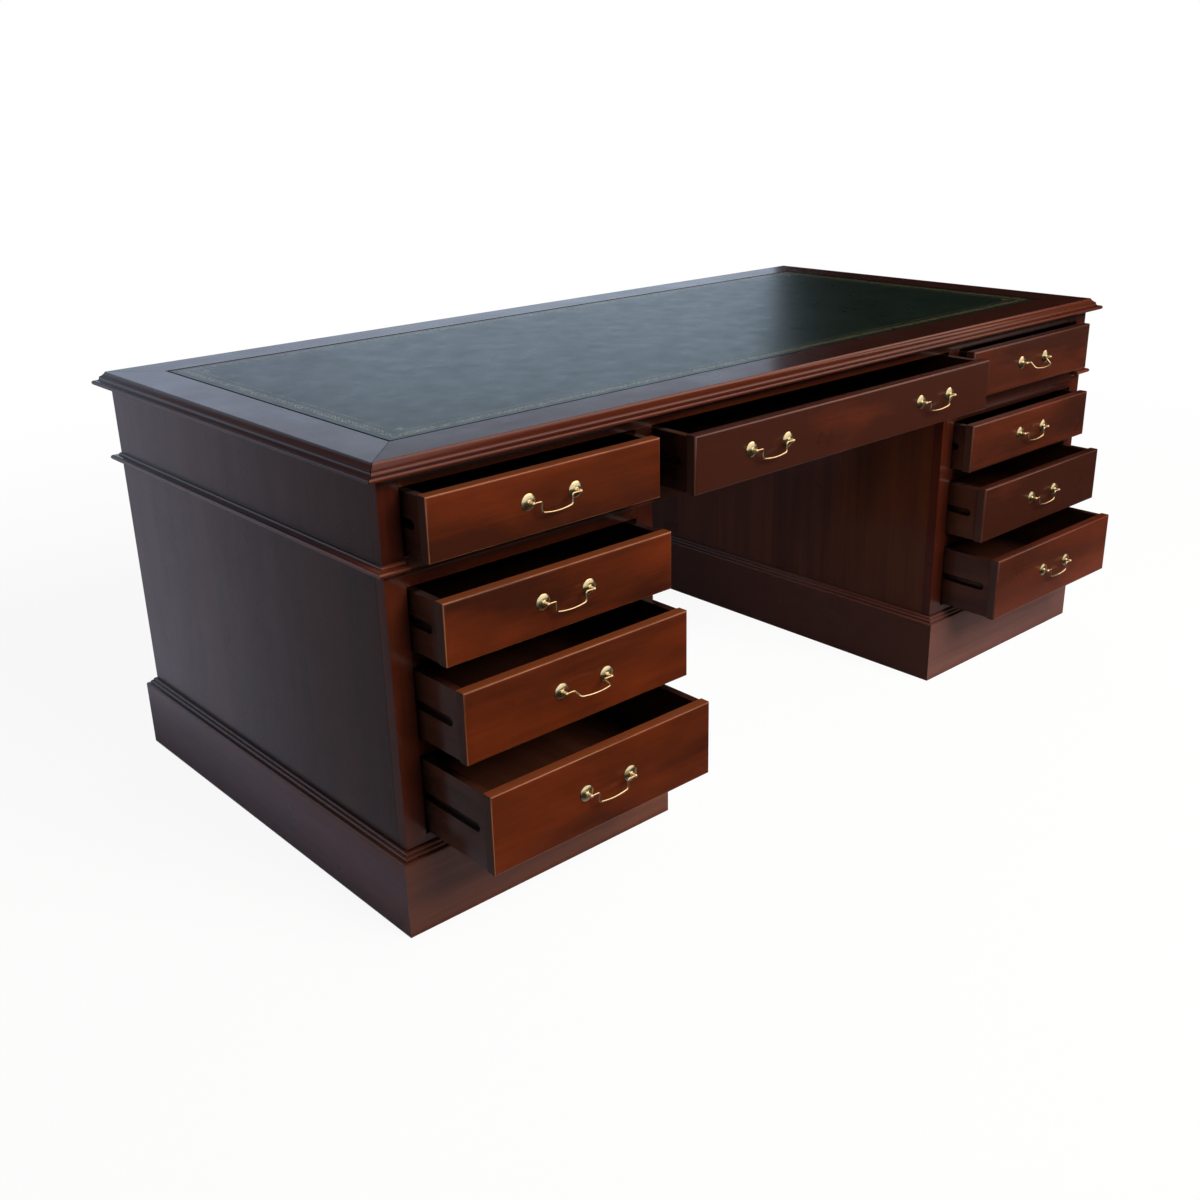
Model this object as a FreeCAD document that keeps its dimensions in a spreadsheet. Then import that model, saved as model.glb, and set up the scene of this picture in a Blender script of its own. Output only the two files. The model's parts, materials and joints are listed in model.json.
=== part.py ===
import FreeCAD, Part
import math
import os
import re

import Sketcher

# Pedestal desk in millimetres: +X along the length, the front faces -Y, +Z up, the floor at zero.
# The drawers stand part open, and the origin is under the middle of the desk with its open drawers.

# Driving dimensions
SIZES = {
    # carcass boards
    "body_length": 1928,
    "body_depth": 914,
    "pedestal_width": 540,
    "side_thickness": 20,
    "divider_thickness": 20,
    "back_thickness": 12,
    "board_thickness": 12,
    "side_lift": 6,
    # front frames
    "frame_thickness": 22,
    "stile_width": 38,
    "base_rail_height": 162,
    "lower_rail_height": 26.5,
    "upper_rail_height": 24,
    "top_rail_height": 20,
    "frieze_bottom_rail_height": 28.5,
    "frieze_top_rail_height": 21.5,
    # top: border with its moulded edge, panel and leather
    "top_thickness": 25,
    "top_arris_overhang": 5.5,
    "border_width": 82.5,
    "top_quirk": 1,
    "top_slope_run": 9,
    "top_slope_radius": 22,
    "top_fillet": 1.5,
    "top_cove": 5.6,
    "top_shelf": 1.7,
    "top_nosing": 4.2,
    "leather_thickness": 1.5,
    "leather_recess": 0.4,
    "leather_gap": 1.5,
    # waist moulding at the foot of the frieze
    "waist_lift": 3.5,
    "waist_cove": 6,
    "waist_nosing": 4.5,
    "waist_shelf": 7.5,
    "waist_step": 1,
    "waist_bead": 4,
    # plinth with its moulded top edge
    "plinth_face_height": 131,
    "plinth_lower_round": 4,
    "plinth_shelf": 2.5,
    "plinth_step": 1,
    "plinth_middle_round": 5,
    "plinth_upper_round": 4,
    "plinth_lip": 2,
    # dowels that locate the frieze on the pedestals
    "dowel_radius": 5,
    "dowel_length": 20,
    "dowel_inset": 40,
    "dowel_clearance": 0.1,
    "dowel_end_gap": 0.5,
    # drawers
    "drawer_gap": 2,
    "drawer_depth": 560,
    "front_thickness": 20,
    "front_edge_round": 4,
    "lower_front_height": 135,
    "middle_front_height": 119,
    "upper_front_height": 101.5,
    "frieze_front_height": 101,
    "drawer_side_thickness": 14,
    "drawer_side_inset": 1.5,
    "drawer_top_drop": 3,
    "drawer_bottom_rise": 2,
    "drawer_back_thickness": 12,
    "panel_thickness": 6,
    "panel_rise": 10,
    "panel_tongue": 5,
    # side grooves and the runners that carry the drawers
    "groove_start": 34,
    "groove_height": 16,
    "groove_depth": 8,
    "runner_clearance": 0.3,
    "runner_side_clearance": 0.5,
    "runner_stop_gap": 1,
    # how far each drawer is pulled out
    "pull_left_top": 62.5,
    "pull_left_upper": 88,
    "pull_left_middle": 124.5,
    "pull_left_lower": 177,
    "pull_centre": 99.5,
    "pull_right_top": 36,
    "pull_right_upper": 47.5,
    "pull_right_middle": 90,
    "pull_right_lower": 136.5,
    # handle posts
    "post_spacing": 93,
    "post_rise": 3,
    "post_projection": 12.5,
    "post_ball_radius": 3.5,
    "post_neck_radius": 2.4,
    "rosette_radius": 13.5,
    "rosette_rim": 1,
    "rosette_dome_radius": 18,
    "rosette_crown_radius": 5,
    "rosette_crown_height": 3.6,
    "rosette_hollow_radius": 2.8,
    "rosette_neck_height": 6.3,
    "stud_radius": 2,
    "stud_end": 4,
    "stud_clearance": 0.3,
    "nut_radius": 4.5,
    "nut_height": 3,
    "thread_clearance": 0.05,
    "centre_handle_share": 0.28436,
    # bails
    "bail_wire_radius": 1.7,
    "bail_pin_clearance": 0.05,
    "bail_pin_past": 1,
    "bail_pin_end_gap": 0.3,
    "bail_leg_offset": 30.5,
    "bail_bend_radius": 3,
    "bail_corner_radius": 5,
    "bail_bar_radius": 130,
    "bail_drop": 20.5,
    "bail_angle_left_middle": 74,
    "bail_angle_right_top": 48,
    # how far a cutting shape runs past the wood
    "overrun": 5,
}

# Sizes worked out from the driving dimensions
DERIVED = {
    "half_length": "body_length / 2",
    "knee_half": "body_length / 2 - pedestal_width",
    "opening_width": "pedestal_width - 2 * stile_width",
    "front_width": "opening_width - 2 * drawer_gap",
    "centre_front_width": "2 * knee_half - 2 * drawer_gap",
    "centre_handle_offset": "centre_front_width * centre_handle_share",
    "lower_front_z": "base_rail_height + drawer_gap",
    "lower_rail_z": "lower_front_z + lower_front_height + drawer_gap",
    "middle_front_z": "lower_rail_z + lower_rail_height + drawer_gap",
    "upper_rail_z": "middle_front_z + middle_front_height + drawer_gap",
    "upper_front_z": "upper_rail_z + upper_rail_height + drawer_gap",
    "top_rail_z": "upper_front_z + upper_front_height + drawer_gap",
    "pedestal_height": "top_rail_z + top_rail_height",
    "frieze_opening_z": "pedestal_height + frieze_bottom_rail_height",
    "frieze_front_z": "frieze_opening_z + drawer_gap",
    "frieze_top_rail_z": "frieze_front_z + frieze_front_height + drawer_gap",
    "frieze_top": "frieze_top_rail_z + frieze_top_rail_height",
    "top_slope_foot": "2 * top_nosing + top_cove + top_fillet",
    "top_reach": "top_slope_run + top_cove + top_shelf + top_nosing",
    "border_reach": "border_width + top_reach",
    "field_length": "body_length + 2 * top_arris_overhang - 2 * border_width",
    "field_depth": "body_depth + 2 * top_arris_overhang - 2 * border_width",
    "waist_reach": "waist_bead + waist_shelf + waist_nosing",
    "waist_height": "waist_cove + 2 * waist_nosing + waist_step + waist_bead",
    "plinth_rounds": "plinth_lower_round + plinth_middle_round + plinth_upper_round",
    "plinth_reach": "plinth_rounds + plinth_shelf + plinth_lip",
    "plinth_height": "plinth_face_height + plinth_rounds + 2 * plinth_step",
    "front_reach": "pull_left_lower + post_projection + post_ball_radius",
    "setback": "(front_reach - top_arris_overhang - top_reach) / 2",
    "front_y": "setback - body_depth / 2",
    "back_y": "setback + body_depth / 2",
    "frame_back_y": "front_y + frame_thickness",
    "inner_back_y": "back_y - back_thickness",
    "inner_depth": "body_depth - frame_thickness - back_thickness",
    "inner_width": "pedestal_width - 2 * side_thickness",
    "box_inset": "drawer_side_inset + drawer_side_thickness",
    "panel_z": "drawer_bottom_rise + panel_rise",
    "groove_end_y": "groove_start + groove_height / 2",
    "runner_reach": "drawer_gap + drawer_side_inset + groove_depth - runner_side_clearance",
    "runner_height": "groove_height - 2 * runner_clearance",
    "runner_y": "front_y + groove_end_y + runner_stop_gap",
    "runner_length": "drawer_depth - groove_end_y - runner_stop_gap",
    "ball_foot": "post_projection - sqrt(post_ball_radius ^ 2 - post_neck_radius ^ 2)",
    "stud_length": "front_thickness + nut_height + stud_end",
    "bail_end": "post_spacing / 2 + bail_pin_past - bail_pin_end_gap",
    "bail_turn": "bail_leg_offset + bail_bend_radius",
    "bail_centre_z": "bail_bar_radius - bail_drop",
    "bail_corner_run": "bail_leg_offset - bail_corner_radius",
    "bail_corner_arm": "bail_bar_radius - bail_corner_radius",
    "bail_corner_drop": "sqrt(bail_corner_arm ^ 2 - bail_corner_run ^ 2)",
    "bail_tangent_x": "bail_corner_run * bail_bar_radius / bail_corner_arm",
    "bail_tangent_z": "bail_centre_z - bail_corner_drop * bail_bar_radius / bail_corner_arm",
}

MITRE_ANGLE = 45
QUARTER_TURN = 90
NUT_SIDES = 6

doc = FreeCAD.newDocument("PedestalDesk")
sizes = doc.addObject("Spreadsheet::Sheet", "Sizes")
derived = doc.addObject("Spreadsheet::Sheet", "Derived")
nodes = []


def formula(text):
    """Point each named size in a formula at its sheet."""

    def owner(match):
        word = match.group(0)
        if word in SIZES:
            return "Sizes." + word
        if word in DERIVED:
            return "Derived." + word
        return word

    return re.sub(r"[a-z_]+", owner, text)


def value(text):
    """The number that a formula gives."""
    return float(sizes.evalExpression(formula(text)))


def fill_sheets():
    for row, (alias, number) in enumerate(SIZES.items(), 1):
        sizes.set(f"A{row}", str(number))
        sizes.setAlias(f"A{row}", alias)
    for row, (alias, text) in enumerate(DERIVED.items(), 1):
        derived.set(f"A{row}", "=" + formula(text))
        derived.setAlias(f"A{row}", alias)
    doc.recompute()


def bind(thing, **formulas):
    """Bind properties of an object to formulas."""
    for name, text in formulas.items():
        thing.setExpression(name, formula(text))


def place(thing, x="0", y="0", z="0"):
    """Bind an object's position to three formulas."""
    for axis, text in (("x", x), ("y", y), ("z", z)):
        thing.setExpression("Placement.Base." + axis, formula(text))


def turn(thing, axis, angle):
    thing.Placement = FreeCAD.Placement(FreeCAD.Vector(), FreeCAD.Rotation(axis, angle))


def keep(thing, name):
    """Name a finished sub-part, which gets its own file."""
    thing.Label = name
    nodes.append(thing)
    return thing


def group(name, members):
    """One sub-part of several separate solids."""
    compound = doc.addObject("Part::Compound", name)
    compound.Links = members
    return keep(compound, name)


def board(name, corner, extent):
    """A plain board from its low corner and its size along X, Y and Z."""
    box = doc.addObject("Part::Box", name)
    bind(box, Length=extent[0], Width=extent[1], Height=extent[2])
    place(box, *corner)
    return box


def new_body(name):
    return doc.addObject("PartDesign::Body", name)


def add_box(body, kind, corner, extent):
    """Add or take away a box in a body."""
    box = body.newObject("PartDesign::" + kind + "Box", kind + "Box")
    bind(box, Length=extent[0], Width=extent[1], Height=extent[2])
    place(box, *corner)
    return box


def cut_cylinder(body, axis, angle, start, radius, length):
    """Bore a body along the turned Z axis."""
    bore = body.newObject("PartDesign::SubtractiveCylinder", "Bore")
    turn(bore, axis, angle)
    bind(bore, Radius=radius, Height=length)
    place(bore, *start)
    return bore


def origin_plane(body, role):
    return next(f for f in body.Origin.OriginFeatures if f.Role == role)


def new_sketch(body, role, name, offset=None):
    """A sketch on one of the body's own planes, moved along the plane's normal."""
    sketch = body.newObject("Sketcher::SketchObject", name)
    sketch.AttachmentSupport = (origin_plane(body, role), [""])
    sketch.MapMode = "FlatFace"
    if offset:
        sketch.setExpression("AttachmentOffset.Base.z", formula(offset))
    return sketch


def arc_between(start, end, radius, clockwise):
    """The short circular arc from start to end, as sketch geometry."""
    chord = end - start
    middle = (start + end) / 2
    rise = math.sqrt(max(radius ** 2 - chord.Length ** 2 / 4, 0))
    side = FreeCAD.Vector(-chord.y, chord.x, 0).normalize()
    centre = middle - side * rise if clockwise else middle + side * rise
    first, last = (end, start) if clockwise else (start, end)
    angles = [math.atan2(p.y - centre.y, p.x - centre.x) for p in (first, last)]
    circle = Part.Circle(centre, FreeCAD.Vector(0, 0, 1), radius)
    return Part.ArcOfCircle(circle, *angles)


def constrain(sketch, kind, *terms, text=None):
    index = sketch.addConstraint(Sketcher.Constraint(kind, *terms))
    if text:
        sketch.setExpression(f"Constraints[{index}]", formula(text))


def fix_point(sketch, curve, end, x, y):
    """Hold one end of a sketch curve at two formulas."""
    for kind, axis, text in (("DistanceX", -2, x), ("DistanceY", -1, y)):
        if text == "0":
            constrain(sketch, "PointOnObject", curve, end, axis)
        else:
            constrain(sketch, kind, -1, 1, curve, end, value(text), text=text)


def draw(sketch, points, closed=True):
    """Draw lines and arcs through points.

    A point is (x, y), or (x, y, bend, radius) where the curve that leaves it is an arc, with bend
    "left" or "right".
    """
    count = len(points) if closed else len(points) - 1
    ends = []
    for index in range(count):
        point = points[index]
        after = points[(index + 1) % len(points)]
        start = FreeCAD.Vector(value(point[0]), value(point[1]), 0)
        end = FreeCAD.Vector(value(after[0]), value(after[1]), 0)
        if len(point) == 2:
            curve = sketch.addGeometry(Part.LineSegment(start, end), False)
            ends.append((curve, 1, 2))
        else:
            clockwise = point[2] == "right"
            radius = value(point[3])
            curve = sketch.addGeometry(arc_between(start, end, radius, clockwise), False)
            constrain(sketch, "Radius", curve, radius, text=point[3])
            ends.append((curve, 2, 1) if clockwise else (curve, 1, 2))
    for index, (curve, first, last) in enumerate(ends):
        fix_point(sketch, curve, first, *points[index][:2])
        if index + 1 < count or closed:
            after, after_first, _ = ends[(index + 1) % count]
            constrain(sketch, "Coincident", curve, last, after, after_first)
        else:
            fix_point(sketch, curve, last, *points[-1][:2])


# Moulded boards: each runs along its own +X, with the moulding outwards along its own +Y.

BORDER_OUTLINE = [
    ("0", "0"),
    ("border_reach - top_nosing", "0", "left", "top_nosing"),
    ("border_reach", "top_nosing", "left", "top_nosing"),
    ("border_reach - top_nosing", "2 * top_nosing"),
    ("border_width + top_slope_run + top_cove", "2 * top_nosing", "right", "top_cove"),
    ("border_width + top_slope_run", "2 * top_nosing + top_cove"),
    ("border_width + top_slope_run", "top_slope_foot", "right", "top_slope_radius"),
    ("border_width", "top_thickness - top_quirk"),
    ("border_width", "top_thickness"),
    ("0", "top_thickness"),
]

WAIST_OUTLINE = [
    ("0", "0", "right", "waist_cove"),
    ("waist_cove", "waist_cove"),
    ("waist_reach - waist_nosing", "waist_cove", "left", "waist_nosing"),
    ("waist_reach", "waist_cove + waist_nosing", "left", "waist_nosing"),
    ("waist_reach - waist_nosing", "waist_cove + 2 * waist_nosing"),
    ("waist_bead", "waist_cove + 2 * waist_nosing"),
    ("waist_bead", "waist_height - waist_bead", "left", "waist_bead"),
    ("0", "waist_height"),
]

PLINTH_OUTLINE = [
    ("0", "0"),
    ("plinth_reach", "0"),
    ("plinth_reach", "plinth_face_height", "left", "plinth_lower_round"),
    ("plinth_reach - plinth_lower_round", "plinth_face_height + plinth_lower_round"),
    (
        "plinth_lip + plinth_upper_round + plinth_middle_round",
        "plinth_face_height + plinth_lower_round",
    ),
    (
        "plinth_lip + plinth_upper_round + plinth_middle_round",
        "plinth_face_height + plinth_lower_round + plinth_step",
        "left",
        "plinth_middle_round",
    ),
    ("plinth_lip + plinth_upper_round", "plinth_height - plinth_upper_round - plinth_step"),
    ("plinth_lip + plinth_upper_round", "plinth_height - plinth_upper_round", "left", "plinth_upper_round"),
    ("plinth_lip", "plinth_height"),
    ("0", "plinth_height"),
]

Z_AXIS = FreeCAD.Vector(0, 0, 1)
Y_AXIS = FreeCAD.Vector(0, 1, 0)
X_AXIS = FreeCAD.Vector(1, 0, 0)
HEADINGS = {"back": 0, "left": 90, "front": 180, "right": 270}


def cut_mitre(body, reach, height, at_start, run):
    """Cut one end of a moulded board along the plane that bisects an outer corner."""
    cutter = add_box(
        body,
        "Subtractive",
        ("0", "0", "0"),
        (f"2 * ({reach})", f"4 * ({reach})", f"{height} + 2 * overrun"),
    )
    turn(cutter, Z_AXIS, 180 + MITRE_ANGLE if at_start else -MITRE_ANGLE)
    slant = f"2 * ({reach}) * sin({MITRE_ANGLE})"
    if at_start:
        place(cutter, f"0 - {slant}", slant, "0 - overrun")
    else:
        place(cutter, f"{run} - {slant}", f"0 - {slant}", "0 - overrun")


def moulded_board(name, outline, reach, height, run, side, corner, mitred=(True, True)):
    """A moulded board along one side, from the corner where its inner edge starts."""
    body = new_body(name)
    sketch = new_sketch(body, "YZ_Plane", "Section", f"0 - {reach}" if mitred[0] else None)
    draw(sketch, outline)
    pad = body.newObject("PartDesign::Pad", "Run")
    pad.Profile = sketch
    bind(pad, Length=f"{run} + {sum(mitred)} * ({reach})")
    for at_start, wanted in zip((True, False), mitred):
        if wanted:
            cut_mitre(body, reach, height, at_start, run)
    turn(body, Z_AXIS, HEADINGS[side])
    place(body, *corner)
    return body


def mitred_ring(name, outline, reach, height, low_x, low_y, length, depth, z):
    """Four moulded boards round a rectangle, given by its low corner and size."""
    high_x = f"{low_x} + {length}"
    high_y = f"{low_y} + {depth}"
    starts = {
        "front": (length, high_x, low_y),
        "back": (length, low_x, high_y),
        "left": (depth, low_x, low_y),
        "right": (depth, high_x, high_y),
    }
    return [
        moulded_board(f"{name}_{side}", outline, reach, height, run, side, (x, y, z))
        for side, (run, x, y) in starts.items()
    ]


def make_top():
    ring = mitred_ring(
        "top_border",
        BORDER_OUTLINE,
        "border_reach",
        "top_thickness",
        "0 - field_length / 2",
        "setback - field_depth / 2",
        "field_length",
        "field_depth",
        "frieze_top",
    )
    group("top_border", ring)
    panel_top = "top_thickness - leather_thickness - leather_recess"
    keep(
        board(
            "top_panel",
            ("0 - field_length / 2", "setback - field_depth / 2", "frieze_top"),
            ("field_length", "field_depth", panel_top),
        ),
        "top_panel",
    )
    keep(
        board(
            "leather_insert",
            (
                "leather_gap - field_length / 2",
                "setback + leather_gap - field_depth / 2",
                f"frieze_top + {panel_top}",
            ),
            ("field_length - 2 * leather_gap", "field_depth - 2 * leather_gap", "leather_thickness"),
        ),
        "leather_insert",
    )


def make_frieze():
    height = "frieze_top - pedestal_height"
    end_depth = "body_depth - frame_thickness"
    ends = [
        board(
            f"frieze_end_{side}",
            (x, "frame_back_y", "pedestal_height"),
            ("side_thickness", end_depth, height),
        )
        for side, x in (("left", "0 - half_length"), ("right", "half_length - side_thickness"))
    ]
    group("frieze_ends", ends)
    keep(
        board(
            "frieze_back",
            ("side_thickness - half_length", "inner_back_y", "pedestal_height"),
            ("body_length - 2 * side_thickness", "back_thickness", height),
        ),
        "frieze_back",
    )
    dividers = [
        board(
            f"frieze_divider_{side}",
            (f"{x} - divider_thickness / 2", "frame_back_y", "pedestal_height + board_thickness"),
            ("divider_thickness", "inner_depth", f"{height} - board_thickness"),
        )
        for side, x in (("left", "0 - knee_half - stile_width / 2"), ("right", "knee_half + stile_width / 2"))
    ]
    group("frieze_dividers", dividers)
    make_frieze_bottom()
    make_frieze_frame(height)
    make_waist()


def dowel_places():
    """Middle points of the dowels: four on each pedestal."""
    inner_x = "knee_half + side_thickness + dowel_inset"
    outer_x = "half_length - side_thickness - dowel_inset"
    rows = ("frame_back_y + dowel_inset", "inner_back_y - dowel_inset")
    return {
        "left": [(f"0 - ({x})", y) for x in (inner_x, outer_x) for y in rows],
        "right": [(x, y) for x in (inner_x, outer_x) for y in rows],
    }


def bored_board(name, corner, extent, holes, hole_z):
    """A board with blind holes for dowels, open at the height of hole_z."""
    body = new_body(name)
    add_box(body, "Additive", corner, extent)
    radius = "dowel_radius + dowel_clearance"
    depth = "dowel_length / 2 + dowel_end_gap"
    for x, y in holes:
        cut_cylinder(body, Z_AXIS, 0, (x, y, hole_z), radius, depth)
    return body


def make_frieze_bottom():
    places = dowel_places()
    keep(
        bored_board(
            "frieze_bottom",
            ("side_thickness - half_length", "frame_back_y", "pedestal_height"),
            ("body_length - 2 * side_thickness", "inner_depth", "board_thickness"),
            places["left"] + places["right"],
            "pedestal_height",
        ),
        "frieze_bottom",
    )
    dowels = []
    for side, points in places.items():
        for number, (x, y) in enumerate(points, 1):
            dowel = doc.addObject("Part::Cylinder", f"dowel_{side}_{number}")
            bind(dowel, Radius="dowel_radius", Height="dowel_length")
            place(dowel, x, y, "pedestal_height - dowel_length / 2")
            dowels.append(dowel)
    group("locating_dowels", dowels)


def make_frieze_frame(height):
    rail_x = "stile_width - half_length"
    rail_length = "body_length - 2 * stile_width"
    inner_height = "frieze_top_rail_z - frieze_opening_z"
    members = [
        ("left_corner", "0 - half_length", "pedestal_height", "stile_width", height),
        ("right_corner", "half_length - stile_width", "pedestal_height", "stile_width", height),
        ("left_stile", "0 - knee_half - stile_width", "frieze_opening_z", "stile_width", inner_height),
        ("right_stile", "knee_half", "frieze_opening_z", "stile_width", inner_height),
        ("bottom_rail", rail_x, "pedestal_height", rail_length, "frieze_bottom_rail_height"),
        ("top_rail", rail_x, "frieze_top_rail_z", rail_length, "frieze_top_rail_height"),
    ]
    frame = [
        board(f"frieze_{name}", (x, "front_y", z), (length, "frame_thickness", tall))
        for name, x, z, length, tall in members
    ]
    group("frieze_front_frame", frame)


def make_waist():
    """Waist moulding along the ends and the back, with a short return on each front corner."""
    z = "pedestal_height + waist_lift"
    low = "0 - half_length"
    runs = [
        ("left", "body_depth", "left", (low, "front_y", z), (True, True)),
        ("right", "body_depth", "right", ("half_length", "back_y", z), (True, True)),
        ("back", "body_length", "back", (low, "back_y", z), (True, True)),
        ("front_right", "stile_width", "front", ("half_length", "front_y", z), (True, False)),
        ("front_left", "stile_width", "front", ("stile_width - half_length", "front_y", z), (False, True)),
    ]
    pieces = [
        moulded_board(
            f"waist_{name}", WAIST_OUTLINE, "waist_reach", "waist_height", run, side, corner, mitred
        )
        for name, run, side, corner, mitred in runs
    ]
    group("waist_moulding", pieces)


def make_pedestal(side):
    left = side == "left"
    low_x = "0 - half_length" if left else "knee_half"
    panel_z = "side_lift"
    panel_height = "pedestal_height - side_lift"
    panel_depth = "body_depth - frame_thickness"
    far_side = f"{low_x} + pedestal_width - side_thickness"
    outer_x, inner_x = (low_x, far_side) if left else (far_side, low_x)
    for place_name, x in (("outer", outer_x), ("inner", inner_x)):
        name = f"{side}_pedestal_{place_name}_side"
        side_size = ("side_thickness", panel_depth, panel_height)
        keep(board(name, (x, "frame_back_y", panel_z), side_size), name)
    inside_x = f"{low_x} + side_thickness"
    name = f"{side}_pedestal_back"
    back_size = ("inner_width", "back_thickness", panel_height)
    keep(board(name, (inside_x, "inner_back_y", panel_z), back_size), name)
    bottom = board(
        f"{side}_bottom_board",
        (inside_x, "frame_back_y", "base_rail_height - board_thickness"),
        ("inner_width", "inner_depth", "board_thickness"),
    )
    top = bored_board(
        f"{side}_top_board",
        (inside_x, "frame_back_y", "pedestal_height - board_thickness"),
        ("inner_width", "inner_depth", "board_thickness"),
        dowel_places()[side],
        "pedestal_height - dowel_length / 2 - dowel_end_gap",
    )
    group(f"{side}_pedestal_boards", [bottom, top])
    make_pedestal_frame(side, low_x)
    ring = mitred_ring(
        f"{side}_plinth",
        PLINTH_OUTLINE,
        "plinth_reach",
        "plinth_height",
        low_x,
        "front_y",
        "pedestal_width",
        "body_depth",
        "0",
    )
    group(f"{side}_plinth", ring)


def make_pedestal_frame(side, low_x):
    rail_x = f"{low_x} + stile_width"
    stile_height = "pedestal_height - side_lift"
    members = [
        ("low_stile", low_x, "side_lift", "stile_width", stile_height),
        ("high_stile", f"{low_x} + pedestal_width - stile_width", "side_lift", "stile_width", stile_height),
        ("base_rail", rail_x, "side_lift", "opening_width", "base_rail_height - side_lift"),
        ("lower_rail", rail_x, "lower_rail_z", "opening_width", "lower_rail_height"),
        ("upper_rail", rail_x, "upper_rail_z", "opening_width", "upper_rail_height"),
        ("top_rail", rail_x, "top_rail_z", "opening_width", "top_rail_height"),
    ]
    frame = [
        board(f"{side}_{name}", (x, "front_y", z), (length, "frame_thickness", tall))
        for name, x, z, length, tall in members
    ]
    group(f"{side}_pedestal_front_frame", frame)


# Drawers: the local origin is the low left corner of the front's face.


class Drawer:
    """One drawer's place, sizes and handles, as formulas."""

    def __init__(self, name, x, width, row, pull, handles, bail_angle=None):
        self.name = name
        self.width = width
        self.height = f"{row}_front_height"
        self.corner = (x, f"front_y - {pull}", f"{row}_front_z")
        self.closed_z = f"{row}_front_z"
        self.handles = handles
        self.bail_angle = bail_angle

    def at(self, x="0", y="0", z="0"):
        """A place in the drawer, as a place on the desk."""
        return tuple(f"{base} + {offset}" for base, offset in zip(self.corner, (x, y, z)))


def make_front(drawer):
    name = f"{drawer.name}_front"
    body = new_body(name)
    slab = add_box(body, "Additive", ("0", "0", "0"), (drawer.width, "front_thickness", drawer.height))
    doc.recompute()
    face = min(range(len(slab.Shape.Faces)), key=lambda i: slab.Shape.Faces[i].CenterOfMass.y)
    rounding = body.newObject("PartDesign::Fillet", "EdgeRound")
    rounding.Base = (slab, [f"Face{face + 1}"])
    bind(rounding, Radius="front_edge_round")
    for x in post_places(drawer):
        cut_cylinder(
            body,
            X_AXIS,
            QUARTER_TURN,
            (x, "front_thickness + overrun", f"{drawer.height} / 2 + post_rise"),
            "stud_radius + stud_clearance",
            "front_thickness + 2 * overrun",
        )
    place(body, *drawer.corner)
    keep(body, name)


def make_box_side(drawer, name, left):
    """A drawer side with its runner groove outside and its panel groove inside."""
    body = new_body(f"{drawer.name}_{name}")
    outer = "drawer_side_inset" if left else f"{drawer.width} - box_inset"
    height = f"{drawer.height} - drawer_top_drop - drawer_bottom_rise"
    length = "drawer_depth - front_thickness"
    add_box(
        body,
        "Additive",
        (outer, "front_thickness", "drawer_bottom_rise"),
        ("drawer_side_thickness", length, height),
    )
    middle = f"{drawer.height} / 2"
    right_groove_x = f"{drawer.width} - drawer_side_inset - groove_depth"
    groove_x = "drawer_side_inset - overrun" if left else right_groove_x
    width = "groove_depth + overrun"
    add_box(
        body,
        "Subtractive",
        (groove_x, "groove_end_y", f"{middle} - groove_height / 2"),
        (width, "drawer_depth - groove_end_y + overrun", "groove_height"),
    )
    cut_cylinder(body, Y_AXIS, QUARTER_TURN, (groove_x, "groove_end_y", middle), "groove_height / 2", width)
    panel_x = "box_inset - panel_tongue" if left else f"{drawer.width} - box_inset - overrun"
    add_box(
        body,
        "Subtractive",
        (panel_x, "front_thickness - overrun", "panel_z"),
        ("panel_tongue + overrun", "drawer_depth + 2 * overrun", "panel_thickness"),
    )
    place(body, *drawer.corner)
    return body


def make_box(drawer):
    inside = f"{drawer.width} - 2 * box_inset"
    sides = [make_box_side(drawer, "left_side", True), make_box_side(drawer, "right_side", False)]
    back = board(
        f"{drawer.name}_back",
        drawer.at("box_inset", "drawer_depth - drawer_back_thickness", "panel_z + panel_thickness"),
        (inside, "drawer_back_thickness", f"{drawer.height} - drawer_top_drop - panel_z - panel_thickness"),
    )
    panel = board(
        f"{drawer.name}_bottom",
        drawer.at("box_inset - panel_tongue", "front_thickness", "panel_z"),
        (f"{inside} + 2 * panel_tongue", "drawer_depth - front_thickness", "panel_thickness"),
    )
    group(f"{drawer.name}_box", sides + [back, panel])


def handle_middles(drawer):
    """Middle of each handle along the front."""
    return [f"{drawer.width} / 2 + {offset}" for offset in drawer.handles]


def post_places(drawer):
    """Each post's place along the front, left post first."""
    return [
        f"{middle} {sign} post_spacing / 2" for middle in handle_middles(drawer) for sign in ("-", "+")
    ]


POST_OUTLINE = [
    ("0", "0 - stud_length"),
    ("stud_radius", "0 - stud_length"),
    ("stud_radius", "0"),
    ("rosette_radius", "0"),
    ("rosette_radius", "rosette_rim", "left", "rosette_dome_radius"),
    ("rosette_crown_radius", "rosette_crown_height", "right", "rosette_hollow_radius"),
    ("post_neck_radius", "rosette_neck_height"),
    ("post_neck_radius", "ball_foot", "left", "post_ball_radius"),
    ("post_ball_radius", "post_projection", "left", "post_ball_radius"),
    ("0", "post_projection + post_ball_radius"),
]


def make_post(name, corner, left):
    """A rosette with its post, ball and stud, turned about its own Z, which points out of the front."""
    body = new_body(name)
    sketch = new_sketch(body, "XZ_Plane", "Outline")
    draw(sketch, POST_OUTLINE)
    turned = body.newObject("PartDesign::Revolution", "Turned")
    turned.Profile = sketch
    turned.ReferenceAxis = (sketch, ["V_Axis"])
    start = "0 - bail_pin_past" if left else "bail_pin_past"
    cut_cylinder(
        body,
        Y_AXIS,
        QUARTER_TURN if left else -QUARTER_TURN,
        (start, "0", "post_projection"),
        "bail_wire_radius + bail_pin_clearance",
        "bail_pin_past + post_ball_radius + overrun",
    )
    turn(body, X_AXIS, QUARTER_TURN)
    place(body, *corner)
    return body


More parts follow.
